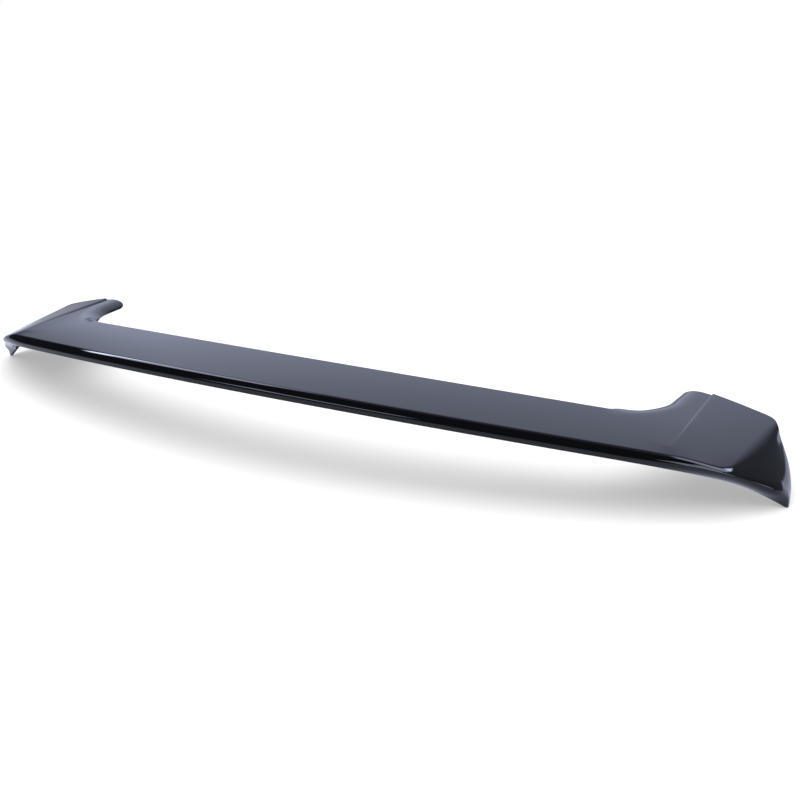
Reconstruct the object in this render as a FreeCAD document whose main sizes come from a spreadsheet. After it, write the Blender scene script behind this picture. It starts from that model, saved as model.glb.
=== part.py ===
"""Tailgate spoiler: one thin-walled moulding, a bowed blade with a down-turned fin at each end.

X runs across the car, +Y towards its front and +Z up. The origin lies on the mirror plane, on the
underside of the wall, behind the middle of the front edge. Sizes are in millimetres. Places on the wing and
the fin are given from the blade's end, so that both follow the blade.

Half of the shell is a loft through closed wall sections. The section planes stand upright: square to the
blade along its length, fanned about the middle of the notch, and square to the wing along the fin.
"""
import FreeCAD
import Part
import Sketcher
import math
import os

NODE = "spoiler_shell"
SIZES = (
    ("wall", 3.0, "wall of the moulding"),
    ("bond_margin", 10.0, "front edge ahead of the origin"),
    ("blade_half", 385.0, "centre to the notch's middle, across"),
    ("notch_middle_y", 80.1, "notch's middle, ahead of the blade's end"),
    ("bow_half", 482.0, "half width over which bow and arch are given"),
    ("blade_bow", 93.9, "how far the blade's ends stand forward"),
    ("blade_arch", 36.0, "how far the blade's ends drop"),
    ("blade_chord", 99.7, "front edge to the lip's upper edge"),
    ("top_fall", 3.0, "drop of the top from front to lip"),
    ("lip_run", 7.6, "lip's upper face, rearward"),
    ("lip_fall", 7.0, "lip's upper face, downward"),
    ("band_height", 7.3, "lip's lower band, downward"),
    ("band_tuck", 1.0, "lip's lower band, forward at its foot"),
    ("lip_blend", 4.2, "setback of the lip's upper bend"),
    ("shoulder_out", 105.0, "where the lip leaves the bow for the fin"),
    ("fold_rear_x", 156.0, "fold's rear corner"),
    ("fold_rear_y", -23.6, "fold's rear corner"),
    ("fold_rear_z", -34.4, "fold's rear corner"),
    ("fold_front_x", 180.1, "fold at the wing's front"),
    ("fold_front_z", -30.5, "fold at the wing's front"),
    ("fold_round", 8.0, "rounding of the fold's corner in plan"),
    ("fold_blend", 5.0, "setback of the fold's bend at its rear"),
    ("fold_blend_front", 14.0, "setback of the fold's bend at its front"),
    ("rim_waist_x", 154.7, "rim below the fold's corner"),
    ("rim_waist_y", -28.5, "rim below the fold's corner"),
    ("rim_waist_z", -38.3, "rim below the fold's corner"),
    ("rim_out", 0.4, "rim's corner, outward from the fin's point"),
    ("rim_back", 10.8, "rim's corner, rearward from the fin's point"),
    ("rim_up", 24.3, "rim's corner, above the fin's point"),
    ("rim_front_x", 181.5, "rim at the wing's front"),
    ("rim_front_z", -35.0, "rim at the wing's front"),
    ("rim_bulge", 0.5, "rim's bow outward between its ends"),
    ("rim_round", 8.0, "rounding of the rim's corner in plan"),
    ("tip_x", 216.3, "fin's point"),
    ("tip_y", 38.9, "fin's point"),
    ("tip_z", -95.4, "fin's point"),
    ("tip_round", 3.0, "rounding of the fin's point"),
    ("fin_arch_x", 150.9, "pole of the arched edge behind the fin's point"),
    ("fin_arch_y", 0.9, "pole of the arched edge behind the fin's point"),
    ("fin_arch_z", -53.8, "pole of the arched edge behind the fin's point"),
    ("fin_front_x", 184.5, "fin's free edge at the wing's front"),
    ("fin_front_z", -41.0, "fin's free edge at the wing's front"),
    ("wing_front_y", 146.3, "wing's front edge"),
    ("notch_x", 7.7, "notch's concave turn"),
    ("notch_y", 17.8, "notch's concave turn"),
    ("waist_x", 55.5, "wing's inner edge beside the notch"),
    ("waist_y", 76.5, "wing's inner edge beside the notch"),
    ("inner_front_x", 60.6, "wing's inner edge at its front"),
    ("roll_width", 23.7, "front margin, rolled on the wing, across"),
    ("roll_drop", 11.4, "rolled inner edge of the wing, downward"),
    ("crease_rear_x", 92.7, "crease's rear end"),
    ("crease_rear_y", -17.1, "crease's rear end"),
    ("crease_front_x", 96.9, "crease at the wing's front"),
    ("crease_round", 12.5, "rounding of the crease line's turn"),
    ("crease_step", 1.5, "outer panel above the inner one at the front"),
    ("crease_width", 2.5, "width of the crease"),
    ("front_corner", 15.9, "rounding of the wing's outer front corner"),
    ("front_corner_x", 170.4, "where that rounding starts"),
    ("inner_corner", 11.1, "rounding of the wing's inner front corner"),
)
BLADE_SECTIONS = 7
BLADE_EASE = 1.6
FAN_STEPS = 12
WING_SECTIONS = 5
TIP_OFFSETS = (-3.0, 0.0, 3.0)
TIP_GAP_SHARE = 0.25
CORNER_START = 5.0
CORNER_END = 70.0
ROLL_START = 2.0
ROLL_END = 50.0
ROLL_LEAD = 0.5
LEAD_SHARE = 0.4
TURN_REACH = 3.0
BULGE_SHARE = 0.55
BLEND_SHARE = 0.45
SLOPE_STEP = 0.01
SPLINE_DEGREE = 3
HALVINGS = 50
CORNER_TURN = 62.0
TRIM_SPARE = 4.0

doc = FreeCAD.newDocument("tailgate_spoiler")
sheet = doc.addObject("Spreadsheet::Sheet", "Sizes")
for row, (alias, value, note) in enumerate(SIZES, start=1):
    sheet.set(f"A{row}", note)
    sheet.set(f"B{row}", str(value))
    sheet.setAlias(f"B{row}", alias)
doc.recompute()


def size(alias):
    """One driving size, read from the sheet."""
    return float(sheet.get(alias))


def blade_point(across, back, height):
    """A point of the blade: its place at the centre, bowed forward and arched down with the square of X."""
    reach = (across / size("bow_half")) ** 2
    return FreeCAD.Vector(across, back + size("blade_bow") * reach, height - size("blade_arch") * reach)


def blade_end():
    """The blade's end, on the line that bows and arches from the origin."""
    return blade_point(size("blade_half"), 0.0, 0.0)


def point(name):
    """A named corner whose three places from the blade's end are in the sheet."""
    return blade_end() + FreeCAD.Vector(size(name + "_x"), size(name + "_y"), size(name + "_z"))


def wing_front():
    """How far ahead the wing's front edge lies."""
    return blade_end().y + size("wing_front_y")


def notch_middle():
    """How far ahead the notch's middle lies."""
    return blade_end().y + size("notch_middle_y")


def at_front(name):
    """A named place on the wing's front edge."""
    end = blade_end()
    return FreeCAD.Vector(end.x + size(name + "_x"), wing_front(), end.z + size(name + "_z"))


def plan_point(name):
    """A named place of a line that lies on the top, so that only its plan counts."""
    end = blade_end()
    return FreeCAD.Vector(end.x + size(name + "_x"), end.y + size(name + "_y"), 0)


def plan_front(name):
    """A named place on the wing's front edge, in plan."""
    return FreeCAD.Vector(blade_end().x + size(name + "_x"), wing_front(), 0)


def between(start, end, share):
    """The point at a share of the way from start to end."""
    return start + (end - start) * share


def top_height(spot):
    """Height of the top: arched down with the square of X, and falling with the square of the way back."""
    reach = (spot.x / size("bow_half")) ** 2
    behind = max(size("bond_margin") + size("blade_bow") * reach - spot.y, 0.0) / size("blade_chord")
    return size("wall") - size("blade_arch") * reach - size("top_fall") * behind ** 2


def turn(before, corner, after, rounding):
    """Poles that take a guide round a corner: two on each leg, one rounding away and a few away."""
    into = (before - corner).normalize() * rounding
    out = (after - corner).normalize() * rounding
    return [corner + into * TURN_REACH, corner + into, corner + out, corner + out * TURN_REACH]


class Guide:
    """A long line of the shell: the blade's parabola, then a cubic spline round the corner to the wing."""

    def __init__(self, back, height, poles):
        self.back = back
        self.height = height
        start = blade_point(size("blade_half"), back, height)
        ahead = blade_point(size("blade_half") + 1.0, back, height)
        lead = (ahead - start).normalize() * (poles[0] - start).Length * LEAD_SHARE
        beyond = between(poles[-2], poles[-1], 2.0)
        self.curve = Part.BSplineCurve()
        self.curve.buildFromPoles([start, start + lead] + poles + [beyond], False, SPLINE_DEGREE)

    def crossing(self, plane):
        """Where the guide meets a section plane: distance out from the plane's axis, and height."""
        if plane.across is not None:
            spot = blade_point(plane.across, self.back, self.height)
        else:
            low, high = 0.0, 1.0
            for _ in range(HALVINGS):
                middle = (low + high) / 2
                if plane.side(self.curve.value(middle)) < 0:
                    low = middle
                else:
                    high = middle
            spot = self.curve.value((low + high) / 2)
        return plane.flat(spot)


class SectionPlane:
    """An upright plane through an axis, facing out from the notch at a heading from rearward to outward."""

    def __init__(self, axis_x, axis_y, heading, across=None):
        self.axis = FreeCAD.Vector(axis_x, axis_y, 0)
        self.out = FreeCAD.Vector(math.sin(heading), -math.cos(heading), 0)
        self.along = FreeCAD.Vector(math.cos(heading), math.sin(heading), 0)
        self.across = across
        self.heading = heading

    def side(self, spot):
        """Signed distance of a point past the plane, along the way from the centre to the wing's front."""
        return (spot - self.axis).dot(self.along)

    def flat(self, spot):
        """A point of the plane as (out, height)."""
        return ((spot - self.axis).dot(self.out), spot.z)

    def solid(self, spot):
        """A flat (out, height) pair as a point in space."""
        return self.axis + self.out * spot[0] + FreeCAD.Vector(0, 0, spot[1])


def section_planes():
    """Planes along the blade, closer by its centre, fanned about the notch, then square to the wing."""
    middle_x = size("blade_half")
    middle_y = notch_middle()
    planes = []
    for index in range(BLADE_SECTIONS):
        across = middle_x * (index / BLADE_SECTIONS) ** BLADE_EASE
        planes.append(SectionPlane(across, middle_y, 0.0, across))
    tip = math.degrees(math.atan2(point("tip").x - middle_x, middle_y - point("tip").y))
    headings = [tip + offset for offset in TIP_OFFSETS]
    gap = 90.0 / FAN_STEPS
    for index in range(FAN_STEPS + 1):
        heading = gap * index
        if abs(heading - tip) > max(TIP_OFFSETS) + gap * TIP_GAP_SHARE:
            headings.append(heading)
    for heading in sorted(headings):
        planes.append(SectionPlane(middle_x, middle_y, math.radians(heading)))
    reach = wing_front() + TRIM_SPARE - middle_y
    for index in range(1, WING_SECTIONS + 1):
        planes.append(SectionPlane(middle_x, middle_y + reach * index / WING_SECTIONS, math.pi / 2))
    return planes


def guides():
    """The five long lines of the outer skin, from the front edge to the free edge of lip and fin."""
    front_y = size("bond_margin")
    lip_y = front_y - size("blade_chord")
    lip_z = size("wall") - size("top_fall")
    band_y = lip_y - size("lip_run")
    band_z = lip_z - size("lip_fall")
    foot_y = band_y + size("band_tuck")
    foot_z = band_z - size("band_height")
    middle_y = front_y - size("blade_chord") / 2
    shoulder = size("blade_half") + size("shoulder_out")

    inner = plan_front("inner_front")
    waist = plan_point("waist")
    front = Guide(front_y, 0.0, [plan_point("notch"), waist, between(waist, inner, 0.5), inner])

    crease_front = plan_front("crease_front")
    middle_end = blade_point(size("blade_half"), middle_y, 0.0)
    middle_end.z = 0.0
    crease_turn = turn(middle_end, plan_point("crease_rear"), crease_front, size("crease_round"))
    crease = Guide(middle_y, 0.0, crease_turn + [crease_front])

    fold_front = at_front("fold_front")
    tail = blade_point(shoulder, lip_y, lip_z)
    fold_turn = turn(tail, point("fold_rear"), fold_front, size("fold_round"))
    fold = Guide(lip_y, lip_z, [tail] + fold_turn + [fold_front])

    tip = point("tip")
    rim_corner = tip + FreeCAD.Vector(size("rim_out"), -size("rim_back"), size("rim_up"))
    rim_front = at_front("rim_front")
    rim_waist = point("rim_waist")
    tail = blade_point(shoulder, band_y, band_z)
    bulge = between(rim_corner, rim_front, BULGE_SHARE) + FreeCAD.Vector(size("rim_bulge"), 0, 0)
    rim_turn = turn(rim_waist, rim_corner, bulge, size("rim_round"))
    rim = Guide(band_y, band_z, [tail, rim_waist] + rim_turn + [bulge, rim_front])

    fin_front = at_front("fin_front")
    arch = point("fin_arch")
    tail = blade_point(shoulder, foot_y, foot_z)
    foot = Guide(foot_y, foot_z, [tail, arch] + turn(arch, tip, fin_front, size("tip_round")) + [fin_front])
    return front, crease, fold, rim, foot


def ramp(value, start, end):
    """A smooth step from 0 at start to 1 at end."""
    share = min(1.0, max(0.0, (value - start) / (end - start)))
    return share * share * (3 - 2 * share)


def soft_least(first, second):
    """A value near the lesser of two, without a corner."""
    return (first ** -4 + second ** -4) ** -0.25


def part_way(start, end, share):
    """The flat point at a share of the way from start to end."""
    return (start[0] + (end[0] - start[0]) * share, start[1] + (end[1] - start[1]) * share)


def inset(corners, wall):
    """The open polygon moved inward by the wall, with mitred corners."""
    normals = []
    for start, end in zip(corners, corners[1:]):
        run = end[0] - start[0]
        drop = end[1] - start[1]
        gap = math.hypot(run, drop)
        normals.append((drop / gap, -run / gap))
    moved = []
    for index, corner in enumerate(corners):
        before = normals[max(index - 1, 0)]
        after = normals[min(index, len(normals) - 1)]
        both = (before[0] + after[0], before[1] + after[1])
        scale = 2 * wall / (both[0] ** 2 + both[1] ** 2)
        moved.append((corner[0] + both[0] * scale, corner[1] + both[1] * scale))
    return moved


class WallSection:
    """The wall where an upright plane cuts the shell, in flat (out, height) pairs."""

    def __init__(self, plane, lines):
        self.plane = plane
        front, crease, self.fold, self.rim, self.foot = (line.crossing(plane) for line in lines)
        self.front_out = front[0]
        self.crease_out = crease[0]
        heading = math.degrees(plane.heading)
        corner = ramp(heading, CORNER_START, CORNER_END)
        crease_y = plane.solid((self.crease_out, 0)).y
        fold = plane.solid((self.fold[0], 0))
        self.drop = size("roll_drop") * ramp(heading, ROLL_START, ROLL_END)
        self.lift = size("crease_step") * ramp(crease_y, plan_point("crease_rear").y, wing_front()) * corner
        self.dip = self.fold[1] - top_height(fold)
        forward = ramp(fold.y, point("fold_rear").y, wing_front())
        bend = size("fold_blend") + (size("fold_blend_front") - size("fold_blend")) * forward
        self.fold_in = size("lip_blend") + (bend - size("lip_blend")) * corner
        self.face = math.dist(self.fold, self.rim)
        self.fold_out = soft_least(self.fold_in, BLEND_SHARE * self.face)

    def panel(self, out):
        """A point of the top panel, which dips to the fold as a square and steps up at the crease."""
        past = out - self.crease_out
        share = max(past / (self.fold[0] - self.crease_out), 0.0)
        lift = self.lift * ramp(past, 0.0, size("crease_width")) * (1 - share)
        return (out, top_height(self.plane.solid((out, 0))) + self.dip * share ** 2 + lift)

    def arc(self, start, end):
        """Control points of the panel between two places: a parabola through its middle."""
        first = self.panel(start)
        middle = self.panel((start + end) / 2)
        last = self.panel(end)
        return [first, (middle[0], 2 * middle[1] - (first[1] + last[1]) / 2), last]

    def curves(self):
        """Control points of each curve round the wall: outer skin, free edge, inner skin and front edge."""
        width = size("roll_width")
        front = (self.front_out, self.panel(self.front_out)[1] - self.drop)
        roll = self.panel(self.front_out + ROLL_LEAD * width)
        margin = self.panel(self.front_out + width)
        crease = self.panel(self.crease_out)
        step_out = self.crease_out + size("crease_width")
        panel_end = self.fold[0] - self.fold_in
        before = self.panel(panel_end - SLOPE_STEP)
        bend_start = self.panel(panel_end)
        slope = (bend_start[1] - before[1]) / SLOPE_STEP
        bend = (self.fold[0], bend_start[1] + slope * self.fold_in)
        bend_end = part_way(bend, self.rim, self.fold_out / self.face)
        outer_panel = self.arc(step_out, panel_end)
        outer = [[front, roll, margin], self.arc(margin[0], crease[0]), [crease, outer_panel[0]],
                 outer_panel, [bend_start, bend, bend_end], [bend_end, self.rim], [self.rim, self.foot]]

        panel = self.arc(crease[0], panel_end)[1]
        plain = inset([front, roll, margin, crease, panel, bend, self.rim, self.foot], size("wall"))
        front_in, roll_in, margin_in, crease_in, panel_in, bend_in, rim_in, foot_in = plain
        inner = [[foot_in, rim_in], [rim_in, bend_in], [bend_in, panel_in, crease_in],
                 [crease_in, margin_in], [margin_in, roll_in, front_in]]
        return outer + [[self.foot, foot_in]] + inner + [[front_in, front]]

    def wire(self):
        """The closed wire of the section."""
        edges = []
        for poles in self.curves():
            bezier = Part.BezierCurve()
            bezier.setPoles([self.plane.solid(pole) for pole in poles])
            edges.append(bezier.toShape())
        return Part.Wire(edges)


def front_trim(lines):
    """A body that cuts the wing's front edge square, rounds its inner corner and slants its outer one.

    It stands at the blade's end, from which its sketch is measured.
    """
    front_y = size("wing_front_y")
    inner_r = size("inner_corner")
    outer_r = size("front_corner")
    slant = math.radians(CORNER_TURN)
    quarter = math.pi / 2
    end = blade_end()
    left = wing_place(lines[0], wing_front() - inner_r) - end.x
    corner_x = size("front_corner_x")
    reach = corner_x - left
    inner_centre = FreeCAD.Vector(left + inner_r, front_y - inner_r, 0)
    outer_centre = FreeCAD.Vector(corner_x, front_y - outer_r, 0)
    slant_x = corner_x + outer_r * math.sin(slant)
    slant_y = outer_centre.y + outer_r * math.cos(slant)
    far_x = slant_x + reach
    far_y = slant_y - reach * math.tan(slant)
    corners = [(left - reach, inner_centre.y), (left, inner_centre.y),
               (inner_centre.x, front_y), (corner_x, front_y), (slant_x, slant_y), (far_x, far_y),
               (far_x, front_y + reach), (left - reach, front_y + reach)]
    spots = [FreeCAD.Vector(x, y, 0) for x, y in corners]
    up = FreeCAD.Vector(0, 0, 1)

    body = doc.addObject("PartDesign::Body", "front_trim")
    body.Placement.Base = FreeCAD.Vector(end.x, end.y, 0)
    sketch = body.newObject("Sketcher::SketchObject", "front_outline")
    ground = [plane for plane in body.Origin.OriginFeatures if plane.Role == "XY_Plane"][0]
    sketch.AttachmentSupport = [(ground, "")]
    sketch.MapMode = "FlatFace"
    sketch.addGeometry([
        Part.LineSegment(spots[0], spots[1]),
        Part.ArcOfCircle(Part.Circle(inner_centre, up, inner_r), quarter, 2 * quarter),
        Part.LineSegment(spots[2], spots[3]),
        Part.ArcOfCircle(Part.Circle(outer_centre, up, outer_r), quarter - slant, quarter),
        Part.LineSegment(spots[4], spots[5]),
        Part.LineSegment(spots[5], spots[6]),
        Part.LineSegment(spots[6], spots[7]),
        Part.LineSegment(spots[7], spots[0]),
    ], False)
    bound = {
        "inner_round": ("Radius", 1, inner_r, "inner_corner"),
        "outer_round": ("Radius", 3, outer_r, "front_corner"),
        "front_place": ("DistanceY", -1, 1, 2, 1, front_y, "wing_front_y"),
        "outer_place": ("DistanceX", -1, 1, 3, 3, corner_x, "front_corner_x"),
        "inner_place": ("DistanceX", -1, 1, 1, 2, left, None),
        "inner_reach": ("DistanceX", 0, 1, 0, 2, reach, None),
        "outer_reach": ("DistanceX", 4, 1, 4, 2, reach, None),
        "front_reach": ("DistanceY", 2, 1, 6, 1, reach, None),
        "slant": ("Angle", 4, -slant, None),
    }
    rules = [("Coincident", 0, 2, 1, 2), ("Tangent", 1, 1, 2, 1), ("Tangent", 2, 2, 3, 2),
             ("Tangent", 3, 1, 4, 1), ("Coincident", 4, 2, 5, 1), ("Coincident", 5, 2, 6, 1),
             ("Coincident", 6, 2, 7, 1), ("Coincident", 7, 2, 0, 1),
             ("Horizontal", 0), ("Horizontal", 2), ("Horizontal", 6),
             ("Vertical", 5), ("Vertical", 7), ("Horizontal", 1, 3, 1, 2)]
    for rule in rules:
        sketch.addConstraint(Sketcher.Constraint(*rule))
    for name, (*rule, alias) in bound.items():
        sketch.renameConstraint(sketch.addConstraint(Sketcher.Constraint(*rule)), name)
        if alias:
            sketch.setExpression("Constraints." + name, "Sizes." + alias)
    pad = body.newObject("PartDesign::Pad", "front_block")
    pad.Profile = sketch
    pad.SideType = "Symmetric"
    pad.setExpression("Length", "4 * (Sizes.wall - Sizes.tip_z)")
    return body


def wing_place(line, along):
    """How far out a guide runs where the wing is cut at a place along Y."""
    plane = SectionPlane(size("blade_half"), along, math.pi / 2)
    return plane.axis.x + line.crossing(plane)[0]


def half_shell(lines):
    """The right half of the shell: a loft through the wall sections, trimmed at the wing's front."""
    sections = []
    for index, plane in enumerate(section_planes()):
        section = doc.addObject("Part::Feature", f"wall_section_{index}")
        section.Shape = WallSection(plane, lines).wire()
        sections.append(section)
    loft = doc.addObject("Part::Loft", "right_loft")
    loft.Sections = sections
    loft.Solid = True
    loft.Ruled = False
    trimmed = doc.addObject("Part::Cut", "right_half")
    trimmed.Base = loft
    trimmed.Tool = front_trim(lines)
    return trimmed


def whole_shell(right):
    """Both halves, mirrored in the plane X = 0 and joined."""
    left = doc.addObject("Part::Mirroring", "left_half")
    left.Source = right
    left.Base = (0, 0, 0)
    left.Normal = (1, 0, 0)
    shell = doc.addObject("Part::Fuse", NODE)
    shell.Base = right
    shell.Tool = left
    shell.Refine = True
    shell.Label = NODE
    shell.Placement = FreeCAD.Placement()
    return shell


def check(parts):
    """Stop if any object failed, or a finished part is empty, invalid or more than one solid."""
    for thing in doc.Objects:
        if "Invalid" in thing.State or "Error" in thing.State:
            raise RuntimeError(f"{thing.Name} failed: {thing.State}")
    for part in parts:
        if part.Shape.isNull() or not part.Shape.isValid() or len(part.Shape.Solids) != 1:
            raise RuntimeError(f"{part.Label} isn't one valid solid")


shell = whole_shell(half_shell(guides()))
doc.recompute()
check([shell])
os.makedirs("parts", exist_ok=True)
shell.Shape.exportStep(f"parts/{shell.Label}.step")
print(shell.Label, round(shell.Shape.Volume), shell.Shape.BoundBox)
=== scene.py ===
"""Studio picture of a tailgate spoiler: a finely gridded gloss-black shell that stands for the solid one.

X runs across the car, +Y towards its front and +Z up. Sizes are in millimetres until a mesh is made.
"""
import logging
import math
from dataclasses import dataclass
from enum import Enum
from typing import Any, Callable, Optional, Sequence, Union

import bpy
import numpy as np
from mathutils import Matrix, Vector


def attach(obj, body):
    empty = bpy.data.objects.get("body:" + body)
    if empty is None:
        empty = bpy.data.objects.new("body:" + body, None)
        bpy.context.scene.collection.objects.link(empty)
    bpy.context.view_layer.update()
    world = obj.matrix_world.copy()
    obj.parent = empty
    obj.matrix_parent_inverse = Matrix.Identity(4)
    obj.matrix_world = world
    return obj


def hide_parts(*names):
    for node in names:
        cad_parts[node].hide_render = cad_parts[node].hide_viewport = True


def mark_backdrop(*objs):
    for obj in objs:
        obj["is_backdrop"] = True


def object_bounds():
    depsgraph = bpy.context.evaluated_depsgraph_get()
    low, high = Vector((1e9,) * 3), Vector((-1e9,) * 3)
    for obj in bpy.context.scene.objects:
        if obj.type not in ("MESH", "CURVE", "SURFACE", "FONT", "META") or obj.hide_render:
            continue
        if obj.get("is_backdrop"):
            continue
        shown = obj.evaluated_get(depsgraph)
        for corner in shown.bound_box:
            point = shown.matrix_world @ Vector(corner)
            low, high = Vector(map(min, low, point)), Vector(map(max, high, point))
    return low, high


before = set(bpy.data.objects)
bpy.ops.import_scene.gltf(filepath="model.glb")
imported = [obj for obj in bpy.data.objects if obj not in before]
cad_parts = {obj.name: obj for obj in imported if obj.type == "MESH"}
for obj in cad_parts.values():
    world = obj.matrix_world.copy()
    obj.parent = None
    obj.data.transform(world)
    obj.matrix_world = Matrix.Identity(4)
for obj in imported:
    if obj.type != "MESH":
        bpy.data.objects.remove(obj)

Array = np.ndarray
MM = 0.001
NODE = "spoiler_shell"
BODY = "root"
PICTURE = 800
SENSOR = 36.0
SHARPNESS = 4.0
SPLINE_DEGREE = 3
SPLINE_END = 1.0 - 1e-12

log = logging.getLogger("spoiler")


class Skin(Enum):
    """The two skins of the wall, each with the value that marks it on the mesh."""

    OUTER = 0.0
    INNER = 1.0


def ramp(value: Array, start: float, end: float) -> Array:
    """A smooth step from 0 at start to 1 at end: 3t^2 - 2t^3 of the clipped share t.

    Args:
        value: Where to read the step.
        start: Value below which the step is 0.
        end: Value above which the step is 1.

    Returns:
        The step, between 0 and 1.
    """
    share = np.clip((np.asarray(value, float) - start) / (end - start), 0.0, 1.0)
    return share * share * (3.0 - 2.0 * share)


def mix(start: Array, end: Array, share: Array) -> Array:
    """The value at a share of the way from start to end."""
    return start + (end - start) * share


def soft_least(first: Array, second: Array) -> Array:
    """A value near the lesser of two, without a corner: the inverse fourth powers add up."""
    return (first ** -SHARPNESS + second ** -SHARPNESS) ** (-1 / SHARPNESS)


def part_of(part: Array, whole: Array) -> Array:
    """A part as a share of its whole, or 0 where the whole is 0."""
    return np.where(whole > 0, part / np.where(whole > 0, whole, 1), 0)


def unit(vectors: Array) -> Array:
    """Vectors along the last axis, scaled to length 1."""
    return vectors / np.linalg.norm(vectors, axis=-1, keepdims=True)


def cubic_spline(poles: Sequence[Array], count: int) -> Array:
    """Points along a clamped uniform cubic B-spline.

    The basis functions grow from step functions on the knots by the Cox-de Boor recursion: each
    one of a higher degree is a mix of two neighbours of the degree below. The last point stays just
    short of the last knot, where every step function ends.

    Args:
        poles: Control points of the curve.
        count: How many points to return, evenly spaced in the parameter.

    Returns:
        The points, one row each.
    """
    control = np.asarray(poles, float)
    inner = np.linspace(0, 1, len(control) - SPLINE_DEGREE + 1)
    knots = np.concatenate([np.zeros(SPLINE_DEGREE), inner, np.ones(SPLINE_DEGREE)])
    at = np.linspace(0.0, SPLINE_END, count)[:, None]
    basis = ((at >= knots[:-1]) & (at < knots[1:])).astype(float)
    for order in range(1, SPLINE_DEGREE + 1):
        left = part_of(at - knots[:-order - 1], knots[order:-1] - knots[:-order - 1])
        right = part_of(knots[order + 1:] - at, knots[order + 1:] - knots[1:-order])
        basis = left * basis[:, :-1] + right * basis[:, 1:]
    return basis @ control


@dataclass(frozen=True)
class ShellSizes:
    """Driving sizes of the shell, in millimetres. Places are in the part's frame, on its right half."""

    wall: float = 3.0
    bond_margin: float = 10.0
    blade_half: float = 385.0
    notch_middle_y: float = 140.0
    bow_half: float = 482.0
    blade_bow: float = 93.9
    blade_arch: float = 36.0
    blade_chord: float = 99.7
    top_fall: float = 3.0
    lip_run: float = 7.6
    lip_fall: float = 7.0
    band_height: float = 7.3
    band_tuck: float = 1.0
    lip_blend: float = 3.0
    shoulder_half: float = 490.0
    fold_rear: tuple = (541.1, 36.7, -56.9)
    fold_front: tuple = (570.4, -52.9)
    fold_round: float = 8.0
    fold_blend: float = 5.0
    fold_blend_front: float = 14.0
    rim_waist: tuple = (539.9, 31.6, -59.7)
    rim_from_tip: tuple = (2.4, -15.6, 22.3)
    rim_front: tuple = (565.2, -59.1)
    rim_bulge: float = 1.3
    rim_round: float = 9.2
    rim_share: float = 0.78
    tip: tuple = (600.1, 98.8, -117.9)
    tip_round: float = 3.0
    fin_arch: tuple = (548.0, 72.0, -84.0)
    fin_heel: tuple = (587.0, 92.0, -108.0)
    fin_rise: tuple = (598.0, 135.2, -92.5)
    fin_front: tuple = (568.9, -64.6)
    band_bulge: float = 1.2
    wing_front_y: float = 206.2
    notch: tuple = (391.9, 79.4)
    waist: tuple = (437.7, 135.4)
    inner_front_x: float = 445.0
    roll_width: float = 27.7
    roll_drop: float = 12.3
    crease_rear: tuple = (477.0, 22.0)
    crease_front_x: float = 481.9
    crease_round: float = 5.0
    crease_step: float = 2.2
    crease_width: float = 2.5
    front_corner: float = 13.6
    front_corner_x: float = 551.3
    inner_corner: float = 8.2
    edge_round: float = 0.8


@dataclass(frozen=True)
class GridCounts:
    """How many cells the shell has along its length, across its section and round its edge."""

    blade: int = 64
    fan: int = 150
    wing: int = 26
    roll: int = 10
    inner_panel: int = 12
    riser: int = 6
    outer_panel: int = 14
    fold: int = 10
    face: int = 8
    rim: int = 10
    band: int = 6
    edge: int = 4


class GuideLine:
    """A long line of the shell: the blade's parabola, then a cubic spline round the corner to the wing.

    Its station is the distance along the middle line that the sections stand on: X on the blade, then the
    heading about the notch's middle times a turning length, then Y along the wing.
    """

    LEAD_SHARE = 0.4
    SAMPLES = 6000

    def __init__(self, shell: "SpoilerShell", back: float, height: float, poles: Sequence[Array]) -> None:
        """Sample the line and the station of each sample.

        Args:
            shell: The shell whose blade the line starts on.
            back: Y of the line at the blade's centre.
            height: Z of the line at the blade's centre.
            poles: Control points of the spline past the blade's end.
        """
        half = shell.sizes.blade_half
        along = np.linspace(0.0, half, self.SAMPLES)
        parabola = shell.blade_point(along, back, height)
        start = parabola[-1]
        ahead = unit(shell.blade_point(np.array(half + 1.0), back, height) - start)
        lead = start + ahead * np.linalg.norm(poles[0] - start) * self.LEAD_SHARE
        beyond = 2 * poles[-1] - poles[-2]
        spline = cubic_spline([start, lead, *poles, beyond], self.SAMPLES)
        spots = np.vstack([parabola[:-1], spline])
        self.station = shell.station_of(spots)
        self.out = shell.out_of(spots)
        self.height = spots[:, 2]

    def at(self, station: Array) -> tuple[Array, Array]:
        """Distance out from the middle line and height where the line crosses the sections."""
        return np.interp(station, self.station, self.out), np.interp(station, self.station, self.height)


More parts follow.
